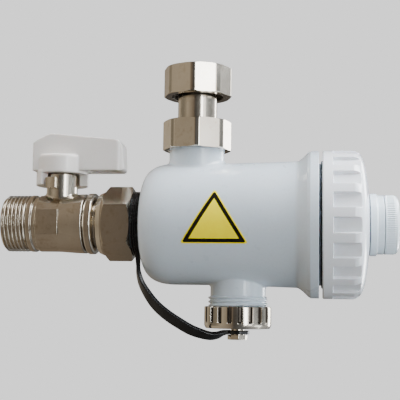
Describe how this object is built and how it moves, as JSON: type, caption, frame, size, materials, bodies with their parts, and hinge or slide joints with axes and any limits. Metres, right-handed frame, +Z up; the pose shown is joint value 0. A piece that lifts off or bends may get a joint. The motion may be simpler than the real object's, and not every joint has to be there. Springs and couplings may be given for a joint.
{
  "type": "magnetic system filter",
  "caption": "Under-boiler magnetic dirt filter: white moulded body with ribbed lid and pull-out magnet, lever ball valve, swivel union nuts and capped drain on a rubber strap.",
  "frame": {"origin": "centre of the upper face of the boiler gasket, on the top port's axis, where the filter hangs from the boiler's pipe", "axes": "+Z up along the top port, +X from the ball valve towards the lid and its knob, -Y is the front with the label"},
  "size_m": [0.1808, 0.067, 0.1259],
  "materials": {
    "white_plastic": "cool white moulding, satin gloss",
    "lid_plastic": "cool white moulding, satin gloss",
    "lever_plastic": "warm white moulding, satin",
    "nickel_brass": "nickel plated, machined",
    "black_rubber": "moulded, slight sheen",
    "gasket_fibre": "flat sealing sheet",
    "sticker": "printed vinyl film",
    "stainless": "stainless steel",
    "magnet_plating": "nickel plated magnet",
    "seat_plastic": "white engineering plastic"
  },
  "bodies": {
    "filter_body": {"housing": "white_plastic", "label": "sticker", "tether": "black_rubber", "top_nipple": "nickel_brass", "lower_gasket": "gasket_fibre", "boiler_gasket": "gasket_fibre", "valve_body": "nickel_brass", "valve_end_piece": "nickel_brass", "valve_seat_left": "seat_plastic", "valve_seat_right": "seat_plastic", "stem_packing": "seat_plastic", "gland_nut": "nickel_brass", "union_gasket": "gasket_fibre", "lid_seal": "black_rubber"},
    "valve_lever": {"lever": "lever_plastic", "lever_screw": "stainless", "valve_stem": "nickel_brass", "valve_ball": "nickel_brass"},
    "valve_union": {"union_nut": "nickel_brass"},
    "lower_union": {"lower_nut": "nickel_brass"},
    "boiler_union": {"boiler_nut": "nickel_brass"},
    "strainer": {"strainer_frame": "seat_plastic", "strainer_mesh": "stainless"},
    "lid": {"lid": "lid_plastic", "magnet_pocket": "lid_plastic"},
    "magnet_stack": {"magnet_rod": "stainless", "magnet_1": "magnet_plating", "magnet_2": "magnet_plating", "magnet_3": "magnet_plating", "magnet_4": "magnet_plating", "pole_disc_1": "stainless", "pole_disc_2": "stainless", "pole_disc_3": "stainless"},
    "magnet_knob": {"knob": "lid_plastic"},
    "drain_seal": {"drain_gasket": "black_rubber"},
    "drain_cap": {"drain_cap": "nickel_brass"}
  },
  "joints": [
    {"name": "lever_turn", "type": "hinge", "parent": "filter_body", "child": "valve_lever", "pos_m": [-0.0639, 0, -0.04], "axis": [0, 0, 1], "range_deg": [-90, 0]},
    {"name": "union_nut_spin", "type": "hinge", "parent": "filter_body", "child": "valve_union", "pos_m": [-0.036, 0, -0.067], "axis": [1, 0, 0], "continuous": true},
    {"name": "lower_nut_spin", "type": "hinge", "parent": "filter_body", "child": "lower_union", "pos_m": [0, 0, -0.026], "axis": [0, 0, 1], "continuous": true},
    {"name": "boiler_nut_spin", "type": "hinge", "parent": "filter_body", "child": "boiler_union", "pos_m": [0, 0, 0], "axis": [0, 0, 1], "continuous": true},
    {"name": "lid_travel", "type": "slide", "parent": "filter_body", "child": "strainer", "axis": [1, 0, 0], "range_m": [0, 0.0091]},
    {"name": "lid_turn", "type": "hinge", "parent": "strainer", "child": "lid", "pos_m": [0.07, 0, -0.067], "axis": [1, 0, 0], "range_deg": [0, 1080]},
    {"name": "magnet_pull", "type": "slide", "parent": "lid", "child": "magnet_stack", "axis": [1, 0, 0], "range_m": [0, 0.08]},
    {"name": "knob_turn", "type": "hinge", "parent": "magnet_stack", "child": "magnet_knob", "pos_m": [0.088, 0, -0.067], "axis": [1, 0, 0], "range_deg": [0, 90]},
    {"name": "drain_travel", "type": "slide", "parent": "filter_body", "child": "drain_seal", "axis": [0, 0, -1], "range_m": [0, 0.0073], "deforming": ["tether"]},
    {"name": "drain_turn", "type": "hinge", "parent": "drain_seal", "child": "drain_cap", "pos_m": [0.0197, 0, -0.11], "axis": [0, 0, -1], "range_deg": [0, 1440]}
  ],
  "couplings": [
    {"joint": "lid_travel", "follows": "lid_turn", "m_per_rad": 0.00047746},
    {"joint": "drain_travel", "follows": "drain_turn", "m_per_rad": 0.00028871}
  ]
}
